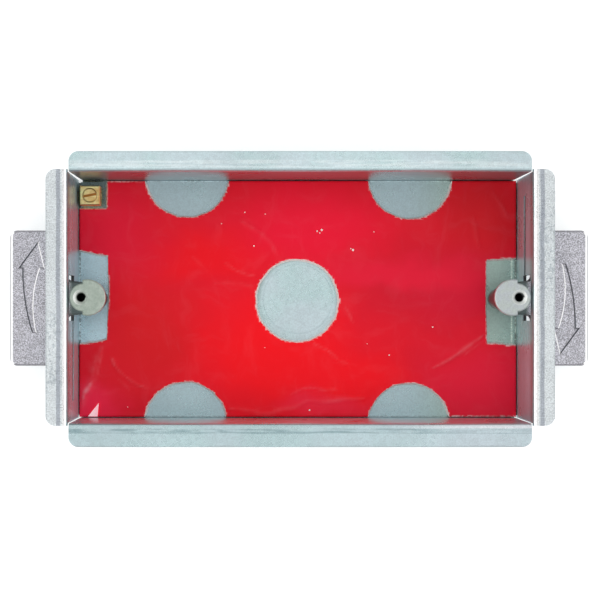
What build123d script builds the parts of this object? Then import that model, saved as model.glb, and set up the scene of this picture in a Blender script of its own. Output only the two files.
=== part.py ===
from build123d import *
import os
from math import hypot, sqrt

# Two-gang fire-rated back box for a plasterboard wall, in millimetres. It lies on its back:
# X runs along the two gangs, Y across them and Z out of the open front. The origin is the
# middle of the outside of the base.
#
# The box is one folded galvanised sheet. A red intumescent pad lines its base. A cast zinc
# lug stands at each end on a pivot stud: its boss takes an accessory screw inside the box,
# and its wing reaches through an L-shaped opening in the end wall. The lug turns half a turn
# to stow its wing inside the box, and slides forward to grip the board behind the flange.

# Sheet and folds
sheet = 1.0
depth = 35.0
inside_width = 69.2
end_flange_width = 5.95
upper_flange_width = 5.5
lower_flange_width = 6.4
base_bend = 0.5
mouth_bend = 0.5
flange_corner = 2.7
end_flange_lap = 0.6
corner_gap_front = 0.35
corner_gap_open = 0.7
corner_gap_close = 0.3
corner_relief_margin = 0.1

# Knockouts: rings scored from both faces, joined by a thin web
knockout_radius = 10.25
knockout_spacing = 64.8
knockout_score = 0.3
knockout_web = 0.3

# Fits
running_gap = 0.05
clear_gap = 0.2

# Lug: a boss for the accessory screw, a hub below it and a wing outside the wall
fixing_centres = 120.6
fixing_radius = 1.45
fixing_offset = 1.8
fixing_depth = 15.0
fixing_countersink = 0.55
boss_radius = 5.0
boss_head_height = 2.5
boss_column_radius = 3.8
boss_nose_radius = 3.85
boss_shoulder = 1.3
boss_setback = 1.0
boss_edge = 0.3
swing_gap = 0.35
hub_radius = 3.0
neck_root_half = 4.3
neck_half = 5.0
neck_fillet = 1.5
wing_wall_gap = 0.55
wing_length = 16.1
wing_width = 38.2
wing_thickness = 2.6
wing_corner = 2.0
wing_front_edge = 0.55
wing_back_edge = 0.4
board_space = 14.2
grip_travel = 10.0
window_side_gap = 1.4
window_drop = 2.0
slot_end_gap = 0.4

# Arrow sunk in the wing, pointing the way the lug turns out
arrow_depth = 0.45
arrow_edge = 0.3
arrow_tip_margin = 3.75
arrow_head_length = 6.7
arrow_head_outer = 5.25
arrow_head_inner = 1.35
arrow_tip_shift = 0.3
arrow_shaft_outer = 4.35
arrow_shaft_inner = 0.15
arrow_tail_margin = 9.6
arrow_tail_shift = 1.35
arrow_tail_half = 0.35
arrow_middle_outer = 3.75
arrow_middle_inner = 1.75

# Pivot stud, peened into the base below and turning with its lug
stud_radius = 1.9
stud_tenon_radius = 1.5
stud_head_radius = 2.4
stud_head_depth = 0.6
stud_collar_radius = 2.8
stud_collar_height = 0.8
stud_tip_web = 1.5
stud_tip_gap = 0.4
stud_tip_chamfer = 0.5

# Earth terminal: a brass block riveted to the base by its own spigot, and a slotted screw
block_length = 5.75
block_width = 5.5
block_height = 8.0
block_edge = 0.25
block_side_gap = 1.6
block_bend_gap = 0.45
wire_bore_radius = 1.6
wire_bore_height = 3.0
earth_screw_radius = 2.0
earth_screw_length = 3.5
earth_screw_lift = 0.2
earth_screw_travel = 2.2
earth_screw_chamfer = 0.25
earth_slot_width = 0.7
earth_slot_depth = 1.0
earth_slot_turn = 11.0
spigot_radius = 1.2
spigot_head_radius = 1.9

# Intumescent pad
pad_thickness = 1.8
pad_wall_gap = 0.3
pad_under_chamfer = 0.7
pad_centre_radius = 12.35
pad_round_radius = 12.2
pad_round_offset = 1.4
pad_side_high = 13.3
pad_side_low = 12.4
pad_terminal_side = 0.9

# Worked out from the values above
pivot_x = fixing_centres / 2 - fixing_offset
inside_length = 2 * (pivot_x + boss_radius + swing_gap)
half_length = inside_length / 2
half_width = inside_width / 2
wall_distance = half_length - pivot_x
wing_start = wall_distance + sheet + wing_wall_gap
wing_end = wing_start + wing_length
wing_half = wing_width / 2
wing_front = depth - sheet - board_space
wing_back = wing_front - wing_thickness
slot_bottom = wing_back - clear_gap
slot_top = wing_front + clear_gap
window_top = slot_top + grip_travel
window_bottom = slot_bottom - window_drop
window_half = neck_half + window_side_gap
boss_front = depth - boss_setback
fixing_floor = boss_front - fixing_depth
hub_bore_top = fixing_floor - stud_tip_web
stud_tip = hub_bore_top - stud_tip_gap
collar_top = sheet + running_gap + stud_collar_height
block_x = -(half_length - base_bend - block_bend_gap - block_length / 2)
block_y = half_width - base_bend - block_side_gap - block_width / 2
block_top = sheet + block_height

# Half the length of the slot: where the far corner of the turning wing meets the wall
corner_reach = hypot(wing_end - wing_corner, wing_half - wing_corner) + wing_corner
slot_reach = sqrt(corner_reach ** 2 - wall_distance ** 2) + slot_end_gap


def folded_section(half_inside, flange_width):
    """Section of one wall: from the bend line in the base, up the wall, to the flange's edge."""
    outside = half_inside + sheet
    edge = half_inside + flange_width
    bend_line = half_inside - base_bend
    corners = [
        (0, 0),
        (outside, 0),
        (outside, depth - sheet),
        (edge, depth - sheet),
        (edge, depth),
        (half_inside, depth),
        (half_inside, sheet),
        (0, sheet),
    ]
    bends = {
        (outside, 0): base_bend + sheet,
        (half_inside, sheet): base_bend,
        (outside, depth - sheet): mouth_bend,
        (half_inside, depth): mouth_bend + sheet,
    }
    section = make_face(Polyline(*corners, close=True))
    for (across, up), radius in bends.items():
        corner = section.vertices().sort_by_distance(Vector(across, up, 0))[0]
        section = fillet(corner, radius)
    return section - Rectangle(2 * bend_line, 4 * sheet)


def corner_reliefs():
    """Round holes where the bend lines of the base cross, so that the folded walls never meet."""
    radius = hypot(base_bend / 2, base_bend / 2) + corner_relief_margin
    reliefs = []
    for side in (-1, 1):
        for across in (-1, 1):
            place = Pos(side * (half_length - base_bend / 2), across * (half_width - base_bend / 2), 0)
            reliefs.append(place * Cylinder(radius, 2 * (sheet + base_bend + corner_relief_margin)))
    return reliefs


def end_wall():
    """The right end wall, folded about Y, and its L-shaped opening. Its flange is longer than the wall."""
    flange_half = half_width + end_flange_lap
    wall = extrude(Plane.XZ * folded_section(half_length, end_flange_width), flange_half, both=True)
    corners = wall.edges().filter_by(Axis.Z).group_by(Axis.X)[-1]
    wall = fillet(corners, flange_corner)
    bend_start = depth - sheet - mouth_bend
    for across in (-1, 1):
        wall -= Pos(half_length, across * flange_half, 0) * Box(8 * sheet, 2 * end_flange_lap, 2 * bend_start)
    return wall - end_opening() - corner_reliefs()


def long_wall(flange_width, gap_at_base):
    """One long wall with its flange. Its ends taper towards the base."""
    wall = extrude(Plane.YZ * folded_section(half_width, flange_width), half_length, both=True)
    front_end = half_length - corner_gap_front
    base_end = front_end - gap_at_base
    bend_start = depth - sheet - mouth_bend
    outline = Polyline(
        (-base_end, 0),
        (base_end, 0),
        (front_end, bend_start),
        (front_end, depth),
        (-front_end, depth),
        (-front_end, bend_start),
        close=True,
    )
    wall &= extrude(Plane.XZ * make_face(outline), half_width + 2 * flange_width, both=True)
    corners = wall.edges().filter_by(Axis.Z).group_by(Axis.Y)[-1]
    return fillet(corners, flange_corner) - corner_reliefs()


def end_opening():
    """L-shaped opening in the right end wall: the grip window and the slot that the wing turns through."""
    window_height = window_top - window_bottom
    window = Pos(half_length, 0, (window_top + window_bottom) / 2)
    window *= Box(4 * sheet, 2 * window_half, window_height)
    slot = Pos(half_length, slot_reach / 2, (slot_top + slot_bottom) / 2)
    slot *= Box(4 * sheet, slot_reach, slot_top - slot_bottom)
    return window + slot


def countersunk_hole(radius, head_radius, head_depth):
    """Hole through the base for a peened tenon, countersunk from outside."""
    hole = Pos(0, 0, sheet / 2) * Cylinder(radius + running_gap, 2 * sheet)
    sink = Pos(0, 0, head_depth / 2)
    sink *= Cone(head_radius + running_gap, radius + running_gap, head_depth)
    return hole + sink


def peened_tenon(radius, head_radius, head_depth, top):
    """Tenon with its peened head flush in the base, just clear of its hole."""
    tenon = Pos(0, 0, (head_depth + top) / 2) * Cylinder(radius, top - head_depth)
    flush_radius = head_radius - (head_radius - radius) * running_gap / head_depth
    head = Pos(0, 0, (head_depth + running_gap) / 2)
    head *= Cone(flush_radius, radius, head_depth - running_gap)
    return tenon + head


def knockout_score_ring(score_depth):
    """Scored ring, sunk that deep in the upper face of a sheet that lies on the XY plane."""
    ring = Cylinder(knockout_radius, score_depth) - Cylinder(knockout_radius - knockout_score, score_depth)
    return Pos(0, 0, sheet - score_depth / 2) * ring


def box_shell():
    """The folded sheet, with its openings, knockouts and holes."""
    base = Box(2 * (half_length - base_bend), 2 * (half_width - base_bend), sheet)
    shell = Pos(0, 0, sheet / 2) * base - corner_reliefs()
    shell += end_wall() + Rot(0, 0, 180) * end_wall()
    shell += long_wall(upper_flange_width, corner_gap_open)
    shell += mirror(long_wall(lower_flange_width, corner_gap_close), Plane.XZ)
    for side in (-1, 1):
        stud_hole = countersunk_hole(stud_tenon_radius, stud_head_radius, stud_head_depth)
        shell -= Pos(side * pivot_x, 0, 0) * stud_hole
        for across in (-1, 1):
            wall_ring = Rot(-90 * across, 0, 0) * knockout_score_ring(sheet - knockout_web)
            wall_place = (side * knockout_spacing / 2, across * half_width, depth / 2)
            shell -= Pos(*wall_place) * wall_ring
    base_ring = knockout_score_ring((sheet - knockout_web) / 2)
    shell -= base_ring + mirror(base_ring, Plane.XY.offset(sheet / 2))
    shell -= Pos(block_x, block_y, 0) * countersunk_hole(spigot_radius, spigot_head_radius, stud_head_depth)
    return shell


def intumescent_pad():
    """Pad on the base, cut away over the knockouts, at the lugs and round the earth terminal."""
    pad_half_length = half_length - pad_wall_gap
    pad_half_width = half_width - pad_wall_gap
    pad = Pos(0, 0, sheet + pad_thickness / 2)
    pad *= Box(2 * pad_half_length, 2 * pad_half_width, pad_thickness)
    pad = chamfer(pad.faces().sort_by(Axis.Z)[0].edges(), pad_under_chamfer)
    cut_height = 4 * (sheet + pad_thickness)
    pad -= Cylinder(pad_centre_radius, cut_height)
    for side in (-1, 1):
        for across in (-1, 1):
            round_y = across * (half_width + pad_round_offset)
            pad -= Pos(side * knockout_spacing / 2, round_y, 0) * Cylinder(pad_round_radius, cut_height)
        cut_inner = pivot_x - hub_radius - clear_gap
        cut_length = half_length - cut_inner
        cut_place = Pos((half_length + cut_inner) / 2, (pad_side_low - pad_side_high) / 2, 0)
        side_cut = cut_place * Box(cut_length, pad_side_low + pad_side_high, cut_height)
        pad -= Rot(0, 0, 90 - 90 * side) * side_cut
    terminal_x = block_x + block_length / 2 + pad_terminal_side
    terminal_y = block_y - block_width / 2 - clear_gap
    terminal_cut = Box(
        half_length + terminal_x,
        half_width - terminal_y,
        cut_height,
        align=(Align.MAX, Align.MIN, Align.CENTER),
    )
    return pad - Pos(terminal_x, terminal_y, 0) * terminal_cut


def arrow_recess():
    """Curved arrow to sink in the wing, drawn about the wing's middle."""
    head_base = arrow_tip_margin + arrow_head_length - wing_half
    tip = (arrow_tip_shift, arrow_tip_margin - wing_half)
    barb_outer = (arrow_head_outer, head_base)
    barb_inner = (-arrow_head_inner, head_base)
    shaft_outer = (arrow_shaft_outer, head_base)
    shaft_inner = (-arrow_shaft_inner, head_base)
    tail_base = wing_half - arrow_tail_margin
    tail_outer = (arrow_tail_shift + arrow_tail_half, tail_base)
    tail_inner = (arrow_tail_shift - arrow_tail_half, tail_base)
    middle = (head_base + tail_base) / 2
    outline = [
        Line(tip, barb_outer),
        Line(barb_outer, shaft_outer),
        ThreePointArc(shaft_outer, (arrow_middle_outer, middle), tail_outer),
        Line(tail_outer, tail_inner),
        ThreePointArc(tail_inner, (arrow_middle_inner, middle), shaft_inner),
        Line(shaft_inner, barb_inner),
        Line(barb_inner, tip),
    ]
    face = make_face(outline)
    place = Pos((wing_start + wing_end) / 2, 0, wing_front - arrow_depth)
    return place * extrude(face, 2 * arrow_depth)


def wing_plate():
    """Neck and wing as one plate with rounded corners and edges, about the pivot."""
    corners = [
        (0, neck_root_half),
        (wing_start, neck_half),
        (wing_start, wing_half),
        (wing_end, wing_half),
        (wing_end, -wing_half),
        (wing_start, -wing_half),
        (wing_start, -neck_half),
        (0, -neck_root_half),
    ]
    face = make_face(Polyline(*corners, close=True))
    roundings = {neck_half: neck_fillet, wing_half: wing_corner}
    for across, up in corners[1:-1]:
        corner = face.vertices().sort_by_distance(Vector(across, up, 0))[0]
        face = fillet(corner, roundings[abs(up)])
    plate = Pos(0, 0, wing_back) * extrude(face, wing_thickness)
    front_rim = plate.faces().sort_by(Axis.Z)[-1].edges().sort_by(Axis.X)[1:]
    plate = chamfer(front_rim, wing_front_edge)
    back_rim = plate.faces().sort_by(Axis.Z)[0].edges().sort_by(Axis.X)[1:]
    plate = chamfer(back_rim, wing_back_edge) - arrow_recess()
    arrow_rim = plate.faces().sort_by(Axis.Z)[-1].inner_wires()[0].edges()
    return chamfer(arrow_rim, arrow_edge)


def boss():
    """Boss for the accessory screw: a round head and a narrower nose by the wall, on a column."""
    height = boss_front - wing_back
    trim = Pos(boss_shoulder + boss_radius, 0, 0) * Box(2 * boss_radius, 3 * boss_radius, 3 * depth)
    head = Pos(0, 0, boss_front - boss_head_height / 2)
    head *= Cylinder(boss_radius, boss_head_height) - trim
    nose = Pos(boss_radius - boss_nose_radius, 0, 0) * Cylinder(boss_nose_radius, height)
    body = Pos(0, 0, wing_back + height / 2) * (Cylinder(boss_column_radius, height) + nose) + head
    body = chamfer(body.faces().sort_by(Axis.Z)[-1].edges(), boss_edge)
    return body


def lug():
    """One lug casting, about its pivot and pointing along +X."""
    hub_foot = collar_top + running_gap
    casting = boss() + wing_plate()
    casting += Pos(0, 0, (hub_foot + wing_front) / 2) * Cylinder(hub_radius, wing_front - hub_foot)
    fixing = Pos(fixing_offset, 0, fixing_floor + fixing_depth / 2) * Cylinder(fixing_radius, fixing_depth)
    mouth = Pos(fixing_offset, 0, boss_front - fixing_countersink / 2)
    mouth *= Cone(fixing_radius, fixing_radius + fixing_countersink, fixing_countersink)
    bore_height = hub_bore_top - hub_foot
    bore = Pos(0, 0, hub_foot + bore_height / 2) * Cylinder(stud_radius + running_gap, bore_height)
    return casting - fixing - mouth - bore


def pivot_stud():
    """Shouldered stud: peened head in the base, collar on the base, and the shank the lug rides on."""
    stud = peened_tenon(stud_tenon_radius, stud_head_radius, stud_head_depth, collar_top)
    collar = Pos(0, 0, collar_top - stud_collar_height / 2) * Cylinder(stud_collar_radius, stud_collar_height)
    shank = Pos(0, 0, (collar_top + stud_tip) / 2) * Cylinder(stud_radius, stud_tip - collar_top)
    shank = chamfer(shank.edges().group_by(Axis.Z)[-1], stud_tip_chamfer)
    return stud + collar + shank


def earth_block():
    """Brass block with a cross bore for the wire, a hole for its screw and a peened spigot."""
    block = Pos(0, 0, sheet + block_height / 2) * Box(block_length, block_width, block_height)
    block = chamfer(block.faces().sort_by(Axis.Z)[-1].edges(), block_edge)
    wire_level = sheet + wire_bore_height
    block -= Pos(0, 0, wire_level) * Rot(0, 90, 0) * Cylinder(wire_bore_radius, 2 * block_length)
    hole_floor = block_top + earth_screw_lift - earth_screw_length - earth_screw_travel - clear_gap
    screw_hole = Cylinder(earth_screw_radius + running_gap, block_top - hole_floor)
    block -= Pos(0, 0, (block_top + hole_floor) / 2) * screw_hole
    spigot = peened_tenon(spigot_radius, spigot_head_radius, stud_head_depth, sheet)
    return Pos(block_x, block_y, 0) * (block + spigot)


def earth_screw():
    """Headless slotted screw, backed off so that its tip just clears the wire bore."""
    top = block_top + earth_screw_lift
    screw = Pos(0, 0, top - earth_screw_length / 2) * Cylinder(earth_screw_radius, earth_screw_length)
    screw = chamfer(screw.edges().filter_by(GeomType.CIRCLE), earth_screw_chamfer)
    slot = Box(3 * earth_screw_radius, earth_slot_width, 2 * earth_slot_depth)
    screw -= Pos(0, 0, top) * Rot(0, 0, earth_slot_turn) * slot
    return Pos(block_x, block_y, 0) * screw


right_place = Pos(pivot_x, 0, 0)
left_place = Rot(0, 0, 180) * right_place

nodes = {
    "box_shell": box_shell(),
    "intumescent_pad": intumescent_pad(),
    "right_lug": right_place * lug(),
    "left_lug": left_place * lug(),
    "right_pivot_stud": right_place * pivot_stud(),
    "left_pivot_stud": left_place * pivot_stud(),
    "earth_terminal_block": earth_block(),
    "earth_terminal_screw": earth_screw(),
}

os.makedirs("parts", exist_ok=True)
for name, shape in nodes.items():
    export_step(shape, f"parts/{name}.step")
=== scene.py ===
import math
import random
from collections import namedtuple

import bmesh
import bpy
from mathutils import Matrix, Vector, noise


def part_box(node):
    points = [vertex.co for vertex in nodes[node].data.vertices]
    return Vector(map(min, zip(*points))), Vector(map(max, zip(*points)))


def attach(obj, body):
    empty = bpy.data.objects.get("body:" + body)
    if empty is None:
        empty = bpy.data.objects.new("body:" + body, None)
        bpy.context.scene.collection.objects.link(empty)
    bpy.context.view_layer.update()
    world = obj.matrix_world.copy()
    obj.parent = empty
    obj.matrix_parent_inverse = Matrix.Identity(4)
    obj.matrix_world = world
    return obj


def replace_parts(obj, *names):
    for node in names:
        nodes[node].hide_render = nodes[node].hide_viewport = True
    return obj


# Looks of the fire-rated back box: galvanised steel, red film pad, zinc castings and brass terminal.
# Lengths are in metres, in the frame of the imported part, unless a name or comment says millimetres.

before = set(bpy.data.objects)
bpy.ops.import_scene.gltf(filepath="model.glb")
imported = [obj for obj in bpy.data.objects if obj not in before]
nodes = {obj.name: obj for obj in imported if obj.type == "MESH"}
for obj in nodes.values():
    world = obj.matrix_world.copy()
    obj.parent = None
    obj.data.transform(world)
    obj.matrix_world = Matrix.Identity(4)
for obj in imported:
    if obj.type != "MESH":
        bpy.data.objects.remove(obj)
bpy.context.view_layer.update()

MM = 0.001

# View of the photograph: 512 mm in front of the flange, which shows at 3.65 pixels a millimetre
PHOTO_PIXELS = 600
VIEW_DISTANCE = 512 * MM
VIEW_SCALE = 3.65 / MM
VIEW_X = -11.5 * MM
VIEW_Y = -6.6 * MM
VIEW_PIXEL_X = 258.3
VIEW_PIXEL_Y = 321.5
SENSOR = 36.0

# Sizes of the part that its boxes don't give
END_FLANGE_WIDTH = 5.95 * MM
UPPER_FLANGE_WIDTH = 5.5 * MM
SHEET = 1.0 * MM
FIXING_RADIUS = 1.45 * MM
FIXING_DEPTH = 15 * MM
FIXING_COUNTERSINK = 0.55 * MM
FIXING_CENTRES = 120.6 * MM
WING_FRONT = 19.8 * MM
EARTH_SCREW_RADIUS = 1.9 * MM

shell_low, shell_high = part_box("box_shell")
pad_low, pad_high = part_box("intumescent_pad")
lug_low, lug_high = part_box("left_lug")
lug_reach = -lug_low.x
block_low, block_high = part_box("earth_terminal_block")
FRONT = shell_high.z
WALL_X = shell_high.x - END_FLANGE_WIDTH
WALL_Y = shell_high.y - UPPER_FLANGE_WIDTH
LOWER_FLANGE_WIDTH = -shell_low.y - WALL_Y


# Node helpers

def add(tree, kind, inputs=(), **settings):
    """A node of that kind, with its settings, and its inputs set or linked."""
    made = tree.nodes.new("ShaderNode" + kind)
    for name, value in settings.items():
        setattr(made, name, value)
    for name, value in dict(inputs).items():
        if isinstance(value, bpy.types.NodeSocket):
            tree.links.new(value, made.inputs[name])
        else:
            made.inputs[name].default_value = value
    return made


def calc(tree, operation, first, second=0.0, clamp=False):
    """Result of a sum on two values."""
    return add(tree, "Math", {0: first, 1: second}, operation=operation, use_clamp=clamp).outputs[0]


def product(tree, first, *others):
    """All the values multiplied."""
    for other in others:
        first = calc(tree, "MULTIPLY", first, other)
    return first


def smooth_step(tree, value, low, high, start=0.0, end=1.0):
    """Value eased from start to end as it goes from low to high."""
    limits = {"Value": value, "From Min": low, "From Max": high, "To Min": start, "To Max": end}
    return add(tree, "MapRange", limits, interpolation_type="SMOOTHSTEP").outputs["Result"]


def band(tree, value, low, high, soft):
    """1 between low and high, easing to 0 over a soft edge on each side."""
    rise = smooth_step(tree, value, low - soft, low + soft)
    fall = smooth_step(tree, value, high - soft, high + soft, 1.0, 0.0)
    return product(tree, rise, fall)


def grain(tree, place, scale, detail=2.0, roughness=0.5):
    """Noise from 0 to 1 with that many grains a metre."""
    settings = {"Vector": place, "Scale": scale, "Detail": detail, "Roughness": roughness}
    return add(tree, "TexNoise", settings).outputs["Fac"]


def drawn_grain(tree, place, scale, detail=3.0, roughness=0.5):
    """Noise with its own number of grains a metre along each axis."""
    drawn = add(tree, "Mapping", {"Vector": place, "Scale": scale}).outputs["Vector"]
    return grain(tree, drawn, 1.0, detail, roughness)


def blend_colors(tree, factor, first, second, blend_type="MIX"):
    """Two colours mixed by a factor."""
    made = add(tree, "Mix", {0: factor, 6: first, 7: second}, data_type="RGBA", blend_type=blend_type)
    return made.outputs[2]


def paint(tree, color, tint, *shares):
    """A colour with a tint over it, as strong as all its shares multiplied."""
    return blend_colors(tree, product(tree, *shares), color, tint)


def shade(tree, color, tone):
    """A colour made lighter or darker by a tone."""
    grey = add(tree, "CombineColor", {"Red": tone, "Green": tone, "Blue": tone}).outputs["Color"]
    return blend_colors(tree, 1.0, color, grey, "MULTIPLY")


def rgb(red, green, blue):
    """A colour of a node, from linear values."""
    return (red, green, blue, 1.0)


Spot = namedtuple("Spot", "x y z off_x off_y")


def spot_of(tree, place):
    """Coordinates of a point, and its distances off the middle planes along X and Y."""
    x, y, z = add(tree, "SeparateXYZ", {"Vector": place}).outputs
    return Spot(x, y, z, calc(tree, "ABSOLUTE", x), calc(tree, "ABSOLUTE", y))


def distance(tree, x, y, middle_x=0.0, middle_y=0.0):
    """Distance from an upright axis."""
    across = calc(tree, "POWER", calc(tree, "SUBTRACT", x, middle_x), 2.0)
    along = calc(tree, "POWER", calc(tree, "SUBTRACT", y, middle_y), 2.0)
    return calc(tree, "SQRT", calc(tree, "ADD", across, along))


def facing_of(tree):
    """How far the surface faces along each axis."""
    normal = add(tree, "TexCoord").outputs["Normal"]
    return add(tree, "SeparateXYZ", {"Vector": normal}).outputs


def new_finish(name, metallic, roughness):
    """A material with its tree, its shader and the object's own coordinates."""
    material = bpy.data.materials.new(name)
    material.use_nodes = True
    tree = material.node_tree
    shader = tree.nodes["Principled BSDF"]
    shader.inputs["Metallic"].default_value = metallic
    shader.inputs["Roughness"].default_value = roughness
    place = add(tree, "TexCoord").outputs["Object"]
    return material, tree, shader, place


def bump(tree, shader, height, strength, depth):
    """Surface relief from a height."""
    settings = {"Height": height, "Strength": strength, "Distance": depth}
    tree.links.new(add(tree, "Bump", settings).outputs["Normal"], shader.inputs["Normal"])


# Galvanised sheet

# Where the end flanges are scuffed, along Y
WORN_LEFT = (-27 * MM, -4 * MM)
WORN_RIGHT = (0.0, 25 * MM)

# Width of the darker strip by a flange's cut edge
VERGE = 0.25 * MM

# Openings for the wings in the end walls, from and to along Z
OPENING = (6 * MM, 31 * MM)


def verge(tree, out, width):
    """Strip by the cut edge of a flange that is so wide."""
    return smooth_step(tree, out, width - VERGE - 0.1 * MM, width - VERGE + 0.1 * MM)


def fold_stripes(tree, color, place, clouds):
    """Lighter end flanges and a darker lower flange, with painted highlights along the bends, painted shade
    by the upper flange's bend, a painted dark reflection in a band on the end flanges, and stripes that the
    folding tool rubbed on the long flanges, their tones painted highlight and dark reflection.
    """
    spot = spot_of(tree, place)
    right = smooth_step(tree, spot.x, 20 * MM, 50 * MM)
    front = smooth_step(tree, spot.z, FRONT - 2.0 * MM, FRONT - 1.6 * MM)
    uneven = smooth_step(tree, clouds, 0.3, 0.7, -0.12 * MM, 0.12 * MM)
    out_x = calc(tree, "ADD", calc(tree, "SUBTRACT", spot.off_x, WALL_X), uneven)
    out_y = calc(tree, "ADD", calc(tree, "SUBTRACT", spot.off_y, WALL_Y), uneven)
    end = product(tree, front, smooth_step(tree, out_x, 0.22 * MM, 0.42 * MM))
    flat_end = product(tree, end, smooth_step(tree, out_x, 1.3 * MM, 1.6 * MM))
    not_end = smooth_step(tree, end, 0.0, 1.0, 1.0, 0.0)
    above_middle = smooth_step(tree, spot.y, -MM, MM)
    upper = product(tree, above_middle, not_end)
    lower = product(tree, calc(tree, "SUBTRACT", 1.0, above_middle), not_end)

    rubs = smooth_step(tree, drawn_grain(tree, place, (120, 1500, 120)), 0.38, 0.62, 0.1, 1.0)
    # painted highlight and painted dark reflection on the stripes that the folding tool rubbed on the long
    # flanges
    rub_highlight = product(tree, band(tree, out_y, 1.2 * MM, 3.1 * MM, 0.25 * MM), rubs)
    rub_dark_reflection = product(tree, band(tree, out_y, 1.4 * MM, 2.6 * MM, 0.15 * MM), rubs)
    rub_dark_reflection = product(tree, rub_dark_reflection, smooth_step(tree, right, 0.0, 1.0, 1.0, 0.35))
    # painted highlight along the lower flange's bend, on the right
    lip_highlight = product(tree, band(tree, out_y, 0.1 * MM, 1.25 * MM, 0.15 * MM), right)
    worn_left = calc(tree, "SUBTRACT", band(tree, spot.y, *WORN_LEFT, 3 * MM), right)
    worn_right = product(tree, band(tree, spot.y, *WORN_RIGHT, 3 * MM), right)
    worn = calc(tree, "MAXIMUM", worn_left, worn_right)
    scuffs = smooth_step(tree, drawn_grain(tree, place, (1500, 900, 900), 3.0, 0.6), 0.50, 0.60)
    scuffs = calc(tree, "MULTIPLY", scuffs, worn, clamp=True)

    # Flange, stripe on it, strength and colour
    stripes = [
        # painted highlight: white along the end flanges' bends
        (end, 1.0, 1.0, rgb(1.0, 1.0, 1.0)),
        (flat_end, 1.0, 1.0, rgb(0.76, 0.81, 0.83)),
        (flat_end, scuffs, 0.5, rgb(0.34, 0.40, 0.44)),
        # painted dark reflection in a band on the end flanges
        (end, band(tree, out_x, 1.95 * MM, 3.1 * MM, 0.12 * MM), 0.75, rgb(0.35, 0.38, 0.44)),
        (end, verge(tree, out_x, END_FLANGE_WIDTH), 0.35, rgb(0.35, 0.40, 0.42)),
        # painted shade by the upper flange's bend
        (upper, band(tree, out_y, 0.2 * MM, 1.5 * MM, 0.2 * MM), 0.6, rgb(0.44, 0.54, 0.56)),
        # painted highlight on the upper flange's rubbed stripe
        (upper, rub_highlight, 0.5, rgb(0.90, 0.99, 1.0)),
        (upper, verge(tree, out_y, UPPER_FLANGE_WIDTH), 0.35, rgb(0.30, 0.38, 0.40)),
        (lower, band(tree, out_y, 0.0, 8 * MM, 0.2 * MM), 0.5, rgb(0.46, 0.60, 0.63)),
        (lower, right, 0.3, rgb(0.80, 0.83, 0.92)),
        # painted highlight along the lower flange's bend, on the right
        (lower, lip_highlight, 0.5, rgb(1.0, 0.96, 1.0)),
        # painted dark reflection on the lower flange's rubbed stripe, with a thin darker line in it
        (lower, rub_dark_reflection, 0.7, rgb(0.24, 0.36, 0.39)),
        (lower, band(tree, out_y, 2.55 * MM, 2.7 * MM, 0.06 * MM), 0.5, rgb(0.24, 0.36, 0.39)),
        (lower, verge(tree, out_y, LOWER_FLANGE_WIDTH), 0.5, rgb(0.28, 0.32, 0.34)),
    ]
    for flange, stripe, strength, tint in stripes:
        color = paint(tree, color, tint, flange, front, stripe, strength)
    return color, end


def base_shade_and_highlight(tree, color, place):
    """Painted shade on the base towards the walls, lighter again at the left end, round the middle cut-out,
    in its upper corners and along its bends, and a painted highlight along its right bend.
    """
    spot = spot_of(tree, place)
    above = smooth_step(tree, spot.z, 0.4 * SHEET, 0.8 * SHEET)
    on_base = smooth_step(tree, spot.z, SHEET + 0.1 * MM, SHEET + 0.5 * MM, 1.0, 0.0)
    on_base = product(tree, on_base, above)
    # painted shade on the base towards the walls
    by_ends = smooth_step(tree, spot.off_x, 45 * MM, 56 * MM)
    by_sides = smooth_step(tree, spot.off_y, 14 * MM, 24 * MM)
    by_walls = calc(tree, "MAXIMUM", by_ends, by_sides)
    right = smooth_step(tree, spot.x, 30 * MM, 50 * MM)
    shadow = blend_colors(tree, right, rgb(0.42, 0.55, 0.59), rgb(0.38, 0.51, 0.44))
    color = paint(tree, color, shadow, by_walls, on_base, 0.85)

    # painted shadow of the pad's edge round the middle cut-out, stronger towards the top
    rim = band(tree, distance(tree, spot.x, spot.y), 11 * MM, 14 * MM, 0.8 * MM)
    rim = product(tree, rim, smooth_step(tree, spot.y, -9 * MM, 4 * MM, 0.15, 0.7))
    color = paint(tree, color, rgb(0.28, 0.38, 0.37), rim, on_base)
    # the painted shade made lighter at the left end of the base
    left_end = smooth_step(tree, spot.x, -56 * MM, -50 * MM, 0.45, 0.0)
    color = paint(tree, color, rgb(0.62, 0.84, 0.95), on_base, left_end)
    # painted shade in the base's upper corners, one of them by the terminal
    terminal_side = smooth_step(tree, spot.y, 24 * MM, 28 * MM)
    color = paint(tree, color, rgb(0.05, 0.065, 0.05), terminal_side, by_ends, on_base, 0.8)

    # painted shade in the bends between base and walls, broken into dots
    bend_x = band(tree, spot.off_x, WALL_X - 0.5 * MM, WALL_X - 0.05 * MM, 0.1 * MM)
    bend_y = band(tree, spot.off_y, WALL_Y - 0.5 * MM, WALL_Y - 0.05 * MM, 0.1 * MM)
    bend = calc(tree, "MAXIMUM", bend_x, product(tree, bend_y, 0.45))
    low = smooth_step(tree, spot.z, SHEET + 0.4 * MM, SHEET + 0.7 * MM, 1.0, 0.0)
    low = product(tree, low, above)
    patchy = smooth_step(tree, grain(tree, place, 1300), 0.42, 0.58, 0.8, 0.3)
    color = paint(tree, color, rgb(0.05, 0.055, 0.06), bend, low, patchy)
    # painted highlight, patchy, along the start of the base's bend at the right end
    bend_highlight = band(tree, spot.x, WALL_X - 1.6 * MM, WALL_X - 1.1 * MM, 0.12 * MM)
    highlight_patches = smooth_step(tree, patchy, 0.3, 0.7, 1.0, 0.6)
    return paint(tree, color, rgb(0.80, 0.95, 0.82), bend_highlight, low, highlight_patches)


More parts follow.
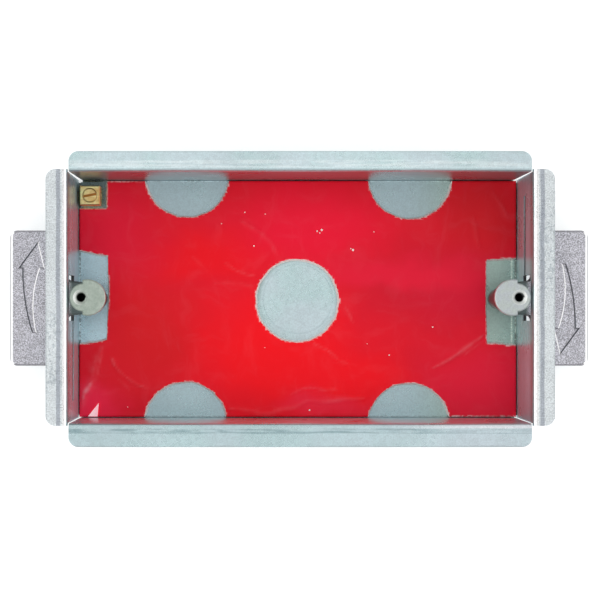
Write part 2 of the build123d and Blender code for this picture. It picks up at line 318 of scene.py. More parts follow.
def wall_tints(tree, color, place):
    """Painted shade on the upper long wall and on the end walls' upper parts, bluer end walls, and
    near-black cut edges in their openings.
    """
    spot = spot_of(tree, place)
    # painted shade on the upper long wall
    upper_wall_shade = band(tree, spot.y, WALL_Y - 0.2 * MM, WALL_Y + 0.3 * MM, 0.05 * MM)
    upper_wall_shade = product(tree, upper_wall_shade, band(tree, spot.z, 2 * MM, FRONT - 2 * MM, 0.5 * MM))
    color = paint(tree, color, rgb(0.33, 0.36, 0.37), upper_wall_shade, 0.9)
    end_wall = band(tree, spot.off_x, WALL_X - 0.3 * MM, WALL_X + 0.28 * MM, 0.08 * MM)
    end_wall = product(tree, end_wall, smooth_step(tree, spot.z, 2.4 * MM, 4 * MM))
    color = paint(tree, color, rgb(0.46, 0.66, 0.74), end_wall, 0.7)
    # painted shade on the end walls' upper parts, under the flanges
    lip = product(tree, end_wall, smooth_step(tree, spot.z, FRONT - 9 * MM, FRONT - 2 * MM))
    color = paint(tree, color, rgb(0.24, 0.29, 0.29), lip, 0.85)
    opening = band(tree, spot.off_x, WALL_X + 0.1 * MM, WALL_X + 0.9 * MM, 0.03 * MM)
    opening = product(tree, opening, band(tree, spot.z, *OPENING, 0.5 * MM))
    return paint(tree, color, rgb(0.10, 0.10, 0.10), opening), end_wall, opening


def galvanised_sheet():
    """Zinc-coated sheet: small spangle, cloudy tint, stripes rubbed along the folds with painted highlights
    and dark reflections, painted shade and highlights on the base and walls, dull cut edges.
    """
    material, tree, shader, place = new_finish("galvanised_sheet", 0.8, 0.3)
    clouds = grain(tree, place, 60, 3.0)
    speck = grain(tree, place, 2600, 2.0, 0.6)
    streaks = drawn_grain(tree, place, (30, 30, 800))
    spangle = add(tree, "TexVoronoi", {"Vector": place, "Scale": 1100}, feature="F1").outputs["Color"]
    spangle = add(tree, "SeparateColor", {"Color": spangle}).outputs["Red"]
    level = smooth_step(tree, calc(tree, "ABSOLUTE", facing_of(tree)["Z"]), 0.6, 0.95)

    cloudy = smooth_step(tree, clouds, 0.35, 0.65)
    color = blend_colors(tree, cloudy, rgb(0.56, 0.73, 0.74), rgb(0.63, 0.75, 0.79))
    color, end_flange = fold_stripes(tree, base_shade_and_highlight(tree, color, place), place, clouds)
    color, end_wall, opening = wall_tints(tree, color, place)

    spread = smooth_step(tree, end_flange, 0.0, 1.0, 0.07, 0.20)
    spread = product(tree, spread, smooth_step(tree, level, 0.0, 1.0, 0.25, 1.0))
    specks = product(tree, smooth_step(tree, speck, 0.3, 0.7, -1.0, 1.0), spread)
    tone = calc(tree, "ADD", 1.0, specks)
    tone = calc(tree, "ADD", tone, smooth_step(tree, streaks, 0.3, 0.7, -0.06, 0.06))
    tone = calc(tree, "ADD", tone, smooth_step(tree, spangle, 0, 1, -0.04, 0.04))
    tree.links.new(shade(tree, color, tone), shader.inputs["Base Color"])

    metal = smooth_step(tree, end_wall, 0.0, 1.0, 0.8, 0.55)
    tree.links.new(metal, shader.inputs["Metallic"])
    matt = smooth_step(tree, clouds, 0.3, 0.7, 0.26, 0.34)
    uneven = product(tree, smooth_step(tree, spangle, 0, 1, -0.03, 0.04), level)
    matt = calc(tree, "MAXIMUM", calc(tree, "ADD", matt, uneven), product(tree, opening, 0.7))
    tree.links.new(matt, shader.inputs["Roughness"])
    bump(tree, shader, speck, product(tree, level, 0.08), 0.00003)
    return material


# Castings, studs and terminal

def boss_marks(tree, color, spot, right):
    """Painted highlight on the countersink round the fixing hole, and painted shade down the hole."""
    hole_x = FIXING_CENTRES / 2
    from_hole = distance(tree, spot.off_x, spot.off_y, hole_x)
    # painted highlight on the countersink round the fixing hole, stronger on its outer side and on the
    # right boss
    ring = smooth_step(tree, from_hole, FIXING_RADIUS + 0.5 * MM, FIXING_RADIUS + 0.8 * MM, 1.0, 0.0)
    ring = product(tree, ring, smooth_step(tree, spot.z, FRONT - 2.5 * MM, FRONT - 2 * MM))
    bright = smooth_step(tree, spot.off_x, hole_x - MM, hole_x + 1.6 * MM, 0.15, 0.75)
    bright = calc(tree, "MAXIMUM", bright, product(tree, right, 0.5))
    color = paint(tree, color, rgb(0.95, 0.96, 0.93), ring, bright)
    # painted shade down the fixing hole and its thread
    hole = smooth_step(tree, from_hole, FIXING_RADIUS + 0.03 * MM, FIXING_RADIUS + 0.1 * MM, 1.0, 0.0)
    deep = smooth_step(tree, spot.z, lug_high.z - 1.6 * MM, lug_high.z - 0.7 * MM, 0.9, 0.0)
    return paint(tree, color, rgb(0.02, 0.02, 0.02), hole, deep)


def wing_rims(tree, color, spot, inside):
    """Rims of the wing's front: painted highlight on those facing out from the box and along the outer
    edge, painted shade on those facing the box and those facing along Y, and a thin painted dark line at
    the very edge.
    """
    normal = facing_of(tree)
    outwards = product(tree, normal["X"], calc(tree, "SIGN", spot.x))
    wing_front = smooth_step(tree, spot.z, WING_FRONT - 0.7 * MM, WING_FRONT - 0.6 * MM)
    rim = product(tree, smooth_step(tree, inside, 0.0, 0.5, 1.0, 0.0), wing_front)
    # painted highlight on rims facing out from the box, painted shade on those facing it
    outer = product(tree, smooth_step(tree, outwards, 0.25, 0.5), rim)
    inner = product(tree, smooth_step(tree, outwards, -0.5, -0.25, 1.0, 0.0), rim)
    # painted shade on rims facing along Y
    sideways_shade = calc(tree, "ABSOLUTE", normal["Y"])
    sideways_shade = product(tree, smooth_step(tree, sideways_shade, 0.4, 0.6, 0.0, 0.6), rim)
    # a thin painted dark line at the very outer edge, and a painted highlight along that edge
    outline = smooth_step(tree, spot.off_x, lug_reach - 0.32 * MM, lug_reach - 0.2 * MM)
    edge_highlight = smooth_step(tree, spot.off_x, lug_reach - 0.85 * MM, lug_reach - 0.65 * MM)
    outer = calc(tree, "MAXIMUM", outer, product(tree, edge_highlight, wing_front))
    color = paint(tree, color, rgb(0.12, 0.12, 0.13), sideways_shade)
    color = paint(tree, color, rgb(0.06, 0.06, 0.07), inner, 0.85)
    color = paint(tree, color, rgb(1.0, 1.0, 1.0), outer)
    color = paint(tree, color, rgb(0.28, 0.28, 0.30), outline, outer)
    return color, outer


def zinc_casting():
    """Die-cast zinc: sandy lilac-grey wings with painted highlight and shade on their rims, a greener boss
    with painted highlight round its hole and painted shade down it, and painted shade below the boss's head
    inside the box.
    """
    material, tree, shader, place = new_finish("zinc_casting", 0.8, 0.42)
    spot = spot_of(tree, place)
    sand = grain(tree, place, 3600, 1.0)
    clouds = grain(tree, place, 260, 3.0, 0.6)
    mottle = smooth_step(tree, grain(tree, place, 700, 3.0), 0.35, 0.65)
    right = smooth_step(tree, spot.x, -MM, MM)
    inside = smooth_step(tree, spot.off_x, WALL_X - 0.1 * MM, WALL_X + 1.2 * MM, 1.0, 0.0)
    wing = blend_colors(tree, clouds, rgb(0.46, 0.45, 0.50), rgb(0.66, 0.65, 0.70))
    boss = blend_colors(tree, right, rgb(0.38, 0.45, 0.39), rgb(0.53, 0.57, 0.59))
    boss = paint(tree, boss, rgb(0.52, 0.58, 0.52), mottle, 0.5)
    color = blend_colors(tree, inside, wing, boss)
    # painted shade on the casting inside the box, below the boss's head
    neck = smooth_step(tree, spot.z, FRONT - 5 * MM, FRONT - 3.4 * MM, 1.0, 0.0)
    color = paint(tree, color, rgb(0.16, 0.20, 0.195), inside, neck)
    color = boss_marks(tree, color, spot, right)
    gritty = smooth_step(tree, inside, 0.0, 1.0, 0.48, 0.08)
    grit = product(tree, smooth_step(tree, sand, 0.3, 0.7, -1.0, 1.0), gritty)
    color = shade(tree, color, calc(tree, "ADD", 1.0, grit))
    color, outer = wing_rims(tree, color, spot, inside)
    tree.links.new(color, shader.inputs["Base Color"])
    # less metallic under the painted highlight, so that it shows white
    metal = calc(tree, "SUBTRACT", 0.8, product(tree, outer, 0.8))
    tree.links.new(metal, shader.inputs["Metallic"])
    tree.links.new(smooth_step(tree, sand, 0.2, 0.8, 0.34, 0.52), shader.inputs["Roughness"])
    bump(tree, shader, sand, 0.25, 0.00005)
    return material


def plated_stud():
    """Bright zinc plate on turned steel, with fine turning rings."""
    material, tree, shader, place = new_finish("plated_stud", 1.0, 0.3)
    rings = drawn_grain(tree, place, (60, 60, 4000), 2.0)
    color = blend_colors(tree, rings, rgb(0.58, 0.60, 0.61), rgb(0.72, 0.73, 0.72))
    tree.links.new(color, shader.inputs["Base Color"])
    tree.links.new(smooth_step(tree, rings, 0.3, 0.7, 0.22, 0.36), shader.inputs["Roughness"])
    bump(tree, shader, rings, 0.15, 0.00003)
    return material


def cut_brass():
    """Sawn brass bar: fine saw lines, a cloudy tarnish, and painted shade in the screw's slot and in the
    gap round the screw.
    """
    material, tree, shader, place = new_finish("cut_brass", 1.0, 0.35)
    spot = spot_of(tree, place)
    clouds = grain(tree, place, 380, 3.0)
    saw = drawn_grain(tree, place, (400, 5200, 400), 2.0)
    cloudy = smooth_step(tree, clouds, 0.4, 0.7)
    color = blend_colors(tree, cloudy, rgb(1.0, 0.84, 0.42), rgb(0.82, 0.54, 0.20))
    middle = (block_low + block_high) / 2
    from_axis = distance(tree, spot.x, spot.y, middle.x, middle.y)
    edge = EARTH_SCREW_RADIUS
    in_screw = smooth_step(tree, from_axis, edge - 0.05 * MM, edge + 0.05 * MM, 1.0, 0.0)
    color = paint(tree, color, rgb(0.78, 0.50, 0.18), in_screw, 0.35)
    # painted shade in the screw's slot, below the block's face
    below_face = smooth_step(tree, spot.z, block_high.z, block_high.z + 0.1 * MM, 1.0, 0.0)
    color = paint(tree, color, rgb(0.46, 0.20, 0.05), in_screw, below_face)
    # painted shade in the gap round the screw
    gap = band(tree, from_axis, edge + 0.05 * MM, edge + 0.3 * MM, 0.05 * MM)
    color = paint(tree, color, rgb(0.30, 0.18, 0.05), gap, 0.5)
    color = shade(tree, color, smooth_step(tree, saw, 0.3, 0.7, 0.95, 1.18))
    tree.links.new(color, shader.inputs["Base Color"])
    tree.links.new(smooth_step(tree, clouds, 0.3, 0.7, 0.28, 0.42), shader.inputs["Roughness"])
    bump(tree, shader, saw, 0.12, 0.00003)
    return material


# Film and core of the pad

# Uneven colour of the film, in darker and lighter patches, the pinker ones painted sheen: middle of each
# patch and its reach along X and Y in millimetres, its colour
FILM_PATCHES = [
    ((-8, -16), (34, 22), (0.94, 0.005, 0.011)),
    ((-24, 12), (22, 8), (0.86, 0.006, 0.014)),
    ((4, 21), (26, 14), (0.86, 0.008, 0.036)),
    ((38, 4), (26, 14), (0.62, 0.009, 0.026)),
    ((-57, 20), (18, 18), (0.74, 0.008, 0.034)),
    ((-42, -10), (17, 19), (0.68, 0.010, 0.016)),
    ((50, 3), (22, 12), (0.66, 0.010, 0.034)),
    ((54, 26), (20, 15), (0.58, 0.009, 0.016)),
    ((56, -26), (24, 16), (0.80, 0.012, 0.042)),
    ((16, -23), (20, 9), (0.93, 0.006, 0.014)),
    ((8, -31), (17, 4.5), (0.84, 0.018, 0.046)),
    ((30, 7.5), (30, 5.0), (0.78, 0.012, 0.040)),
    ((-61, -31), (11, 9), (1.0, 0.024, 0.078)),
]

# How far noise moves the edges of those patches
PATCH_WANDER = 14 * MM


def wandering(tree, place):
    """Coordinates moved by noise, so that patches have uneven edges."""
    warp = add(tree, "TexNoise", {"Vector": place, "Scale": 70, "Detail": 3.0}).outputs["Color"]
    shift = add(tree, "VectorMath", {0: warp, 1: (0.5, 0.5, 0.5)}, operation="SUBTRACT").outputs["Vector"]
    shift = add(tree, "VectorMath", {0: shift, "Scale": PATCH_WANDER}, operation="SCALE").outputs["Vector"]
    return add(tree, "VectorMath", {0: place, 1: shift}, operation="ADD").outputs["Vector"]


def red_film():
    """Glossy red film over the pad, uneven in colour with painted sheen in its pinker patches and along
    fine ripples, and paler along its creases and ripped rims: partly whitening of the film and its pale
    core showing, partly painted highlight.
    """
    material, tree, shader, place = new_finish("red_film", 0.0, 0.3)
    shader.inputs["Specular IOR Level"].default_value = 0.08
    warped = wandering(tree, place)
    color = rgb(0.74, 0.009, 0.024)
    # patches of darker and lighter red, the pinker ones painted sheen
    for (x, y), (reach_x, reach_y), tint in FILM_PATCHES:
        scale = (1 / (reach_x * MM), 1 / (reach_y * MM), 0)
        move = (-x / reach_x, -y / reach_y, 0)
        local = add(tree, "Mapping", {"Vector": warped, "Location": move, "Scale": scale}).outputs["Vector"]
        away = add(tree, "VectorMath", {0: local}, operation="LENGTH").outputs["Value"]
        color = paint(tree, color, rgb(*tint), smooth_step(tree, away, 0.2, 1.3, 0.9, 0.0))
    # paler along the creases: partly stress whitening, partly painted highlight
    crease_and_highlight = add(tree, "Attribute", attribute_name="crease_and_highlight").outputs["Fac"]
    uneven = smooth_step(tree, grain(tree, place, 420, 3.0), 0.3, 0.7, 0.35, 1.0)
    color = paint(tree, color, rgb(0.80, 0.60, 0.66), crease_and_highlight, uneven)
    # painted sheen along fine ripples of the film
    across = drawn_grain(tree, warped, (90, 260, 90), 4.0, 0.6)
    along = drawn_grain(tree, warped, (300, 70, 90), 4.0, 0.6)
    ripple_sheen = smooth_step(tree, calc(tree, "MAXIMUM", across, along), 0.50, 0.74, 0.0, 0.016)
    color = paint(tree, color, rgb(0.80, 0.55, 0.66), ripple_sheen)
    # paler along the ripped rims: partly the pale core showing, partly painted highlight
    tear_and_highlight = add(tree, "Attribute", attribute_name="tear_and_highlight").outputs["Fac"]
    ragged = smooth_step(tree, grain(tree, place, 1300), 0.34, 0.54)
    color = paint(tree, color, rgb(0.95, 0.80, 0.80), tear_and_highlight, ragged)
    tree.links.new(color, shader.inputs["Base Color"])
    bump(tree, shader, grain(tree, place, 260, 3.0), 0.2, 0.0001)
    return material


def flap_underside_glow():
    """Pale back of the film, with the red showing in places, and a faint pink glow that is painted light
    for its shine.
    """
    material, tree, shader, place = new_finish("flap_underside_glow", 0.0, 0.3)
    # painted light: the flap glows faintly pink, in place of its glossy shine
    shader.inputs["Emission Color"].default_value = rgb(1.0, 0.50, 0.55)
    shader.inputs["Emission Strength"].default_value = 0.35
    blush = smooth_step(tree, grain(tree, place, 350), 0.38, 0.62)
    color = blend_colors(tree, blush, rgb(1.0, 0.72, 0.76), rgb(1.0, 0.56, 0.62))
    tree.links.new(color, shader.inputs["Base Color"])
    bump(tree, shader, grain(tree, place, 900), 0.2, 0.0001)
    return material


def pad_core():
    """Pale crumbly core of the pad, where it is cut."""
    material, tree, shader, place = new_finish("pad_core", 0.0, 0.8)
    crumb = grain(tree, place, 1500, 3.0)
    mottle = smooth_step(tree, crumb, 0.35, 0.65)
    color = blend_colors(tree, mottle, rgb(1.0, 0.94, 0.90), rgb(0.95, 0.68, 0.65))
    tree.links.new(color, shader.inputs["Base Color"])
    bump(tree, shader, crumb, 0.5, 0.0002)
    return material


# Pad

# Grid of the film, chamfer along the pad's lower edge, and how far the soft pad spreads past the CAD one
PAD_GRID = 0.6 * MM
PAD_CHAMFER = 1.0 * MM
PAD_SPREAD = 0.05 * MM

# Cuts by hand: how much wider they are at the top, how ragged, and the length of one stroke round a circle
CUT_SLOPE = 1.0 * MM
CUT_JAG = 0.14 * MM
CUT_STEP = 1.6 * MM
STRAIGHT_STROKES = 9
CUT_PAST = 1.0 * MM

# Round cuts over the knockouts, each a little off as hand cuts are: middle and radius in millimetres
ROUND_CUTS = [
    (-0.2, -0.55, 11.4),
    (-32.75, -36.2, 11.4),
    (-32.25, 36.0, 11.6),
    (32.35, -36.6, 11.35),
    (32.8, 35.5, 11.6),
]

# Cuts round the lugs' hubs, out past the pad's ends, in millimetres
SIDE_CUTS = [
    [(-55.6, 11.9), (-66.0, 13.8), (-66.0, -12.9), (-55.9, -11.4)],
    [(55.5, -12.2), (66.0, -13.1), (66.0, 11.3), (55.3, 10.7)],
]

# Cut round the terminal: how far it clears the block's right and lower sides, and a corner past the pad's
TERMINAL_GAP_RIGHT = 0.9 * MM
TERMINAL_GAP_BELOW = 0.1 * MM
PAST_CORNER = (-70, 40)

# The film's rim is ripped and paler along the cuts, partly painted highlight. Along the walls it is so only
# past these
# places: at the lower right and at the upper left
NEAR_WALL = 0.2 * MM
TORN_RIGHT_OF = 40 * MM
TORN_LEFT_OF = -42 * MM

# Swell of the film, how far it sinks between its creases, and the noise that bends the creases
FILM_SWELL = 0.10 * MM
FILM_SINK = 0.12 * MM
SWELL_GRAIN = 90
BEND_GRAIN = 160
BEND_LAYER = 0.3
BEND_SEED = 5
CREASE_BEND = 0.9 * MM

# Creases of the film in millimetres: from, to, height and half width, then how pale they are, partly stress
# whitening and partly painted highlight
CREASES = [
    ((-57.6, -14.0), (-62.3, -30.9), 0.20, 2.6, 0.07),
    ((-57.4, -14.0), (-57.8, -22.0), 0.15, 0.7, 0.08),
    ((-60.3, -24.2), (-61.9, -28.8), 0.35, 1.2, 0.42),
    ((-54.5, -16.9), (-53.2, -19.8), 0.30, 1.0, 0.09),
    ((-53.2, -19.8), (-50.8, -22.7), 0.30, 0.8, 0.08),
    ((-50.8, -22.7), (-43.8, -26.5), 0.25, 0.8, 0.06),
    ((-52.7, -23.6), (-48.9, -26.5), 0.15, 0.6, 0.04),
    ((38.5, -20.7), (47.0, -15.2), 0.30, 0.8, 0.09),
    ((43.0, -18.0), (53.9, -10.8), 0.35, 1.1, 0.11),
    ((48.0, -16.2), (53.9, -12.6), 0.20, 0.6, 0.07),
    ((-16.3, 22.9), (-11.0, 19.5), 0.20, 1.3, 0.04),
    ((-11.0, 19.5), (-7.1, 15.1), 0.20, 1.3, 0.04),
    ((-7.1, 15.1), (-6.1, 12.7), 0.20, 1.1, 0.05),
    ((-30.5, 12.2), (-26.0, 8.0), 0.15, 1.4, 0.02),
    ((-21.2, 10.4), (-18.9, 8.4), 0.20, 0.8, 0.05),
    ((-18.9, 8.4), (-12.0, 6.9), 0.20, 0.8, 0.06),
    ((-23.6, 4.6), (-13.0, 3.5), 0.15, 1.4, 0.03),
    ((13.7, -2.3), (16.1, -7.0), 0.20, 0.9, 0.05),
    ((5.0, -12.5), (8.4, -14.9), 0.25, 0.7, 0.07),
    ((8.4, -14.9), (12.3, -18.3), 0.25, 0.8, 0.07),
    ((12.3, -18.3), (14.6, -18.8), 0.20, 0.7, 0.06),
    ((-2.3, -27.4), (0.6, -26.3), 0.20, 0.7, 0.04),
    ((0.6, -26.3), (4.4, -25.6), 0.20, 0.8, 0.06),
    ((4.4, -25.6), (11.3, -26.8), 0.20, 0.8, 0.05),
    ((-20.3, -31.4), (-8.1, -33.8), 0.25, 1.2, 0.04),
    ((-8.1, -33.8), (2.6, -30.0), 0.25, 1.2, 0.05),
    ((2.6, -30.0), (19.0, -28.9), 0.25, 1.3, 0.05),
    ((51.3, 23.5), (53.0, 15.5), 0.15, 1.6, 0.02),
    ((57.0, 31.0), (61.0, 24.0), 0.15, 0.8, 0.03),
]

# Crumbs of the core on the film: place and size in millimetres, and how flat they lie
CRUMBS = [
    (5.6, 19.7, 0.38),
    (7.0, 20.1, 0.42),
    (6.4, 19.2, 0.22),
    (16.1, 14.2, 0.45),
    (15.4, 14.6, 0.2),
    (-12.8, 15.4, 0.25),
    (-15.4, 25.2, 0.25),
    (-9.5, 24.7, 0.16),
    (-22.2, 21.9, 0.18),
    (22.2, 19.5, 0.2),
    (39.3, -8.2, 0.25),
    (26.6, -16.4, 0.25),
    (20.2, -13.1, 0.16),
    (-9.6, -14.2, 0.18),
    (3.4, -32.4, 0.3),
    (-49.5, -31.5, 0.16),
]
CRUMB_FLATNESS = 0.6

# Corner of the film that has come up by the lower left corner: its three points in millimetres
FILM_FLAP = [(-61.1, -34.25, 2.9), (-58.3, -34.25, 2.95), (-57.9, -30.3, 3.5)]
FLAP_RIPPLE = 0.12 * MM
FILM_THICKNESS = 0.06 * MM

# Places of the film and the core among the pad's finishes
FILM = 0
CORE = 1


def piece(name, bm, body, finishes):
    """An object of the mesh at the origin, riding on its body."""
    mesh = bpy.data.meshes.new(name)
    bm.to_mesh(mesh)
    bm.free()
    for finish in finishes:
        mesh.materials.append(finish)
    made = bpy.data.objects.new(name, mesh)
    bpy.context.scene.collection.objects.link(made)
    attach(made, body)
    return made


def centre_of(verts):
    """Middle of some points."""
    return sum((v.co for v in verts), Vector()) / len(verts)


def verts_in(geometry):
    """The points among what an operator made."""
    return [g for g in geometry if isinstance(g, bmesh.types.BMVert)]


def open_edges(bm):
    """The edges round the openings of a mesh."""
    return [e for e in bm.edges if e.is_boundary]


def jagged(bm, dice):
    """Moves the points of a flat outline in or out a little, as a knife leaves them."""
    centre = centre_of(bm.verts)
    for v in bm.verts:
        v.co += (v.co - centre).normalized() * dice.uniform(-CUT_JAG, CUT_JAG)


def cutter(bm):
    """A closed tool from a flat outline, through the pad and wider at its top."""
    centre = centre_of(bm.verts)
    foot = pad_low.z - CUT_PAST
    head = pad_high.z + CUT_PAST
    for v in bm.verts:
        v.co.z = foot
    for v in verts_in(bmesh.ops.extrude_face_region(bm, geom=bm.faces[:])["geom"]):
        outward = (v.co - centre).to_2d().normalized() * CUT_SLOPE
        v.co += Vector((outward.x, outward.y, head - foot))
    bmesh.ops.recalc_face_normals(bm, faces=bm.faces[:])
    mesh = bpy.data.meshes.new("cutter")
    bm.to_mesh(mesh)
    bm.free()
    tool = bpy.data.objects.new("cutter", mesh)
    bpy.context.scene.collection.objects.link(tool)
    return tool


def round_cutter(x, y, radius, dice):
    """Tool for a round cut by hand."""
    bm = bmesh.new()
    steps = int(2 * math.pi * radius / CUT_STEP)
    bmesh.ops.create_circle(bm, cap_ends=True, segments=steps, radius=radius)
    jagged(bm, dice)
    bmesh.ops.translate(bm, verts=bm.verts[:], vec=(x, y, 0))
    return cutter(bm)


def straight_cutter(corners, dice):
    """Tool for a cut along straight lines."""
    bm = bmesh.new()
    bm.faces.new([bm.verts.new((x * MM, y * MM, 0)) for x, y in corners])
    bmesh.ops.subdivide_edges(bm, edges=bm.edges[:], cuts=STRAIGHT_STROKES)
    jagged(bm, dice)
    return cutter(bm)


def pad_tools(dice):
    """Tools for all the cuts in the pad."""
    tools = [round_cutter(x * MM, y * MM, radius * MM, dice) for x, y, radius in ROUND_CUTS]
    tools += [straight_cutter(corners, dice) for corners in SIDE_CUTS]
    right = (block_high.x + TERMINAL_GAP_RIGHT) / MM
    low = (block_low.y - TERMINAL_GAP_BELOW) / MM
    past_left, past_top = PAST_CORNER
    corners = [(right, past_top), (past_left, past_top), (past_left, low), (right, low)]
    return tools + [straight_cutter(corners, dice)]


def pad_slab():
    """The uncut pad: a fine grid on top, and a chamfer below that clears the base bend."""
    size = pad_high - pad_low + 2 * Vector((PAD_SPREAD, PAD_SPREAD, 0))
    across = round(size.x / PAD_GRID)
    along = round(size.y / PAD_GRID)
    bm = bmesh.new()
    bmesh.ops.create_grid(bm, x_segments=across, y_segments=along, size=0.5)
    bmesh.ops.scale(bm, verts=bm.verts[:], vec=(size.x, size.y, 1))
    bmesh.ops.translate(bm, verts=bm.verts[:], vec=(0, 0, pad_high.z))
    for drop, inward in ((size.z - PAD_CHAMFER, 0.0), (PAD_CHAMFER, PAD_CHAMFER)):
        ring = verts_in(bmesh.ops.extrude_edge_only(bm, edges=open_edges(bm))["geom"])
        shrink = (1 - 2 * inward / size.x, 1 - 2 * inward / size.y, 1)
        bmesh.ops.translate(bm, verts=ring, vec=(0, 0, -drop))
        bmesh.ops.scale(bm, verts=ring, vec=shrink)
    bmesh.ops.holes_fill(bm, edges=open_edges(bm))
    bmesh.ops.recalc_face_normals(bm, faces=bm.faces[:])
    return bm


def cut_pad(pad, tools):
    """The pad's mesh after all the cuts, as a bmesh."""
    for tool in tools:
        cut = pad.modifiers.new("cut", "BOOLEAN")
        cut.operation = "DIFFERENCE"
        cut.object = tool
        cut.solver = "EXACT"
    bpy.context.view_layer.update()
    evaluated = pad.evaluated_get(bpy.context.evaluated_depsgraph_get())
    cut_mesh = bpy.data.meshes.new_from_object(evaluated)
    pad.modifiers.clear()
    for tool in tools:
        bpy.data.objects.remove(tool)
    bm = bmesh.new()
    bm.from_mesh(cut_mesh)
    return bm


def nearness(point, start, end, width):
    """1 on the line from start to end, falling to 0 at the width and thinning towards its ends."""
    along = end - start
    share = max(0.0, min(1.0, (point - start).dot(along) / along.length_squared))
    taper = 0.45 + 2.2 * share * (1 - share)
    away = (point - (start + along * share)).length / (width * taper)
    return max(0.0, 1.0 - away) ** 1.5


def wander(co):
    """The point moved a little by noise, so that creases laid through it aren't straight."""
    shift = noise.noise_vector(Vector((co.x * BEND_GRAIN, co.y * BEND_GRAIN, BEND_LAYER)))
    return co.to_2d() + CREASE_BEND * shift.to_2d()


def crumple(bm):
    """Raises the creases and a soft swell in the film, and notes how far each point is creased."""
    noise.seed_set(BEND_SEED)
    pale = bm.verts.layers.float.new("crease_and_highlight")
    top = [v for v in bm.verts if v.co.z > pad_high.z - 0.01 * MM]
    for v in top:
        v.co.z += FILM_SWELL * noise.noise(v.co * SWELL_GRAIN) - FILM_SINK
    wandered = [wander(v.co) for v in top]
    for start, end, height, width, whiteness in CREASES:
        first = Vector(start) * MM
        last = Vector(end) * MM
        for v, place in zip(top, wandered):
            near = nearness(place, first, last, width * MM)
            if near:
                v.co.z += height * MM * near
                # how pale the film is there: partly stress whitening, partly painted highlight
                v[pale] = max(v[pale], whiteness * near)


def tear_rims(bm, dice):
    """Parts the film from the core, and notes where the film's rim is ripped along a cut and paler: partly
    its pale core showing, partly painted highlight.
    """
    tear_and_highlight = bm.verts.layers.float.new("tear_and_highlight")
    for face in bm.faces:
        face.smooth = face.normal.z > 0.5
        face.material_index = FILM if face.smooth else CORE
    for v in bm.verts:
        on_rim = len({face.material_index for face in v.link_faces}) == 2
        by_upper_wall = v.co.y > pad_high.y - NEAR_WALL
        by_lower_wall = v.co.y < pad_low.y + NEAR_WALL
        by_wall = abs(v.co.x) > pad_high.x - NEAR_WALL or abs(v.co.y) > pad_high.y - NEAR_WALL
        lower_right = by_lower_wall and v.co.x > TORN_RIGHT_OF
        upper_left = by_upper_wall and v.co.x < TORN_LEFT_OF
        if on_rim and (not by_wall or lower_right or upper_left):
            v[tear_and_highlight] = dice.uniform(0.1, 1.0)


def add_crumbs(bm, dice):
    """Crumbs of the core that stick to the film."""
    before = set(bm.faces)
    for x, y, size in CRUMBS:
        made = bmesh.ops.create_icosphere(bm, subdivisions=1, radius=size * MM)["verts"]
        for v in made:
            v.co *= dice.uniform(0.7, 1.15)
            v.co.z *= CRUMB_FLATNESS
        bmesh.ops.translate(bm, verts=made, vec=(x * MM, y * MM, pad_high.z))
    for face in set(bm.faces) - before:
        face.material_index = CORE


def red_pad():
    """The pad with its film, cut by hand over the knockouts, at the lugs and round the terminal."""
    dice = random.Random(5)
    tools = pad_tools(dice)
    finishes = [red_film(), pad_core()]
    pad = piece("pad_with_film", pad_slab(), "box", finishes)
    bm = cut_pad(pad, tools)
    crumple(bm)
    tear_rims(bm, dice)
    add_crumbs(bm, dice)
    bm.to_mesh(pad.data)
    bm.free()
    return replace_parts(pad, "intumescent_pad")


def film_flap():
    """A corner of the film that has come up and shows its pale underside."""
    bm = bmesh.new()
    bm.faces.new([bm.verts.new((x * MM, y * MM, z * MM)) for x, y, z in FILM_FLAP])
    bmesh.ops.subdivide_edges(bm, edges=bm.edges[:], cuts=5, use_grid_fill=True)
    for v in bm.verts:
        v.co.z += FLAP_RIPPLE * noise.noise(v.co * 900)
    lower = verts_in(bmesh.ops.extrude_face_region(bm, geom=bm.faces[:])["geom"])
    bmesh.ops.translate(bm, verts=lower, vec=(0, 0, -FILM_THICKNESS))
    bmesh.ops.recalc_face_normals(bm, faces=bm.faces[:])
    return piece("film_flap", bm, "box", [flap_underside_glow()])


# Threads

THREAD_PITCH = 0.6 * MM
THREAD_HEIGHT = 0.25 * MM
THREAD_HALF_WIDTH = 0.36 * THREAD_PITCH
THREAD_SUNK = 0.05 * MM
THREAD_RUN_OUT = 0.6 * MM
TURN_STEPS = 24


def fixing_thread(name, body, side, finish):
    """Thread in the boss's fixing hole: one ridge wound up the wall of the hole."""
    turns = int((FIXING_DEPTH - FIXING_COUNTERSINK - THREAD_RUN_OUT) / THREAD_PITCH)
    foot = lug_high.z - FIXING_COUNTERSINK - (turns + 1) * THREAD_PITCH
    x = side * FIXING_CENTRES / 2
    root = FIXING_RADIUS + THREAD_SUNK
    crest = FIXING_RADIUS - THREAD_HEIGHT
    half = THREAD_HALF_WIDTH
    bm = bmesh.new()
    section = [(root, -half), (crest, 0), (root, half)]
    corners = [bm.verts.new((x + radius, 0, foot + half + rise)) for radius, rise in section]
    edges = [bm.edges.new((corners[i], corners[i - 1])) for i in range(3)]
    bmesh.ops.spin(
        bm,
        geom=corners + edges,
        cent=(x, 0, 0),
        axis=(0, 0, 1),
        dvec=(0, 0, THREAD_PITCH / TURN_STEPS),
        angle=2 * math.pi * turns,
        steps=TURN_STEPS * turns,
    )
    bmesh.ops.holes_fill(bm, edges=open_edges(bm))
    bmesh.ops.recalc_face_normals(bm, faces=bm.faces[:])
    return piece(name, bm, body, [finish])


# Studio

# Half the table's side, and its height: inside the base sheet, so that no two faces lie on each other and
# the box's underside shows from below
TABLE_HALF = 2.0
TABLE_RISE = 0.02 * MM

